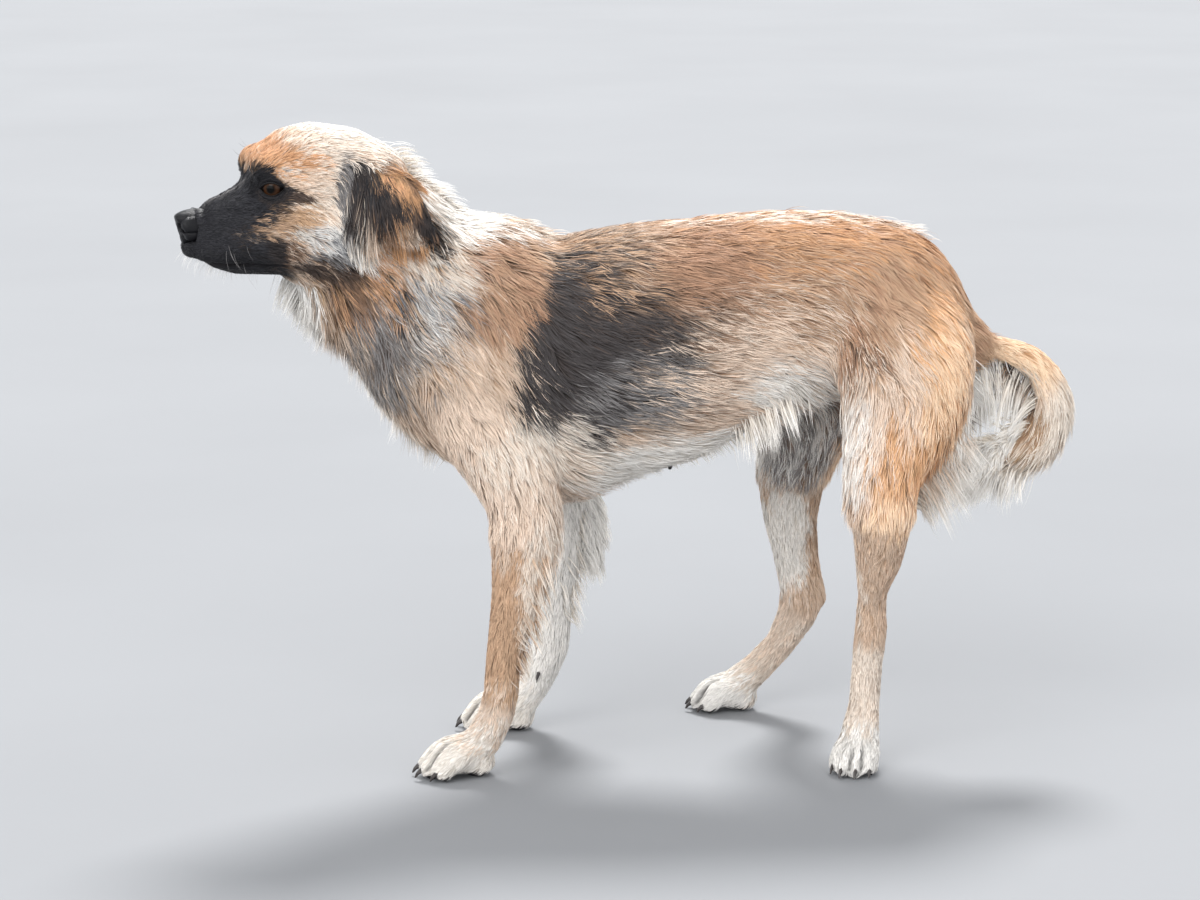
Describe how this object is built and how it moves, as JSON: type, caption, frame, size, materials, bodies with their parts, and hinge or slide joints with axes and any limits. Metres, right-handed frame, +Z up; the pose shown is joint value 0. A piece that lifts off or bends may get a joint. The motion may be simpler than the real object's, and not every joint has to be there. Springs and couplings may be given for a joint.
{
  "type": "dog",
  "caption": "Small slender mixed-breed dog standing with its head raised and turned a little to its left, drop ears folded back and a plumed tail curled down.",
  "frame": {"origin": "on the floor, under the centre of the dog's bounding box", "axes": "+Z up, the dog faces -X with its left side towards -Y"},
  "size_m": [0.6168, 0.198, 0.4451],
  "materials": {
    "tan_coat": "soft fawn, red-tan and charcoal hair",
    "dark_coat": "soft near-black hair",
    "pale_coat": "soft cream hair",
    "eye": "wet, clear over amber brown",
    "nose_leather": "damp black pebbled skin",
    "claw": "smooth dark horn"
  },
  "bodies": {
    "root": {"breeches_left": "pale_coat", "breeches_right": "pale_coat", "chest": "tan_coat", "claw_fore_left_inner": "claw", "claw_fore_left_mid_inner": "claw", "claw_fore_left_mid_outer": "claw", "claw_fore_left_outer": "claw", "claw_fore_right_inner": "claw", "claw_fore_right_mid_inner": "claw", "claw_fore_right_mid_outer": "claw", "claw_fore_right_outer": "claw", "claw_hind_left_inner": "claw", "claw_hind_left_mid_inner": "claw", "claw_hind_left_mid_outer": "claw", "claw_hind_left_outer": "claw", "claw_hind_right_inner": "claw", "claw_hind_right_mid_inner": "claw", "claw_hind_right_mid_outer": "claw", "claw_hind_right_outer": "claw", "dewclaw_left": "claw", "dewclaw_right": "claw", "ear_left": "dark_coat", "ear_right": "dark_coat", "eye_left": "eye", "eye_right": "eye", "foreleg_feather_left": "pale_coat", "foreleg_feather_right": "pale_coat", "foreleg_left_forearm": "tan_coat", "foreleg_left_paw": "pale_coat", "foreleg_left_upper": "tan_coat", "foreleg_right_forearm": "tan_coat", "foreleg_right_paw": "pale_coat", "foreleg_right_upper": "tan_coat", "head": "tan_coat", "hindleg_left_foot": "pale_coat", "hindleg_left_shank": "tan_coat", "hindleg_left_thigh": "tan_coat", "hindleg_right_foot": "pale_coat", "hindleg_right_shank": "tan_coat", "hindleg_right_thigh": "tan_coat", "loin": "tan_coat", "lower_jaw": "dark_coat", "neck": "tan_coat", "nose": "nose_leather", "tail_base": "tan_coat", "tail_middle": "tan_coat", "tail_plume": "pale_coat", "tail_tip": "tan_coat"}
  },
  "joints": []
}
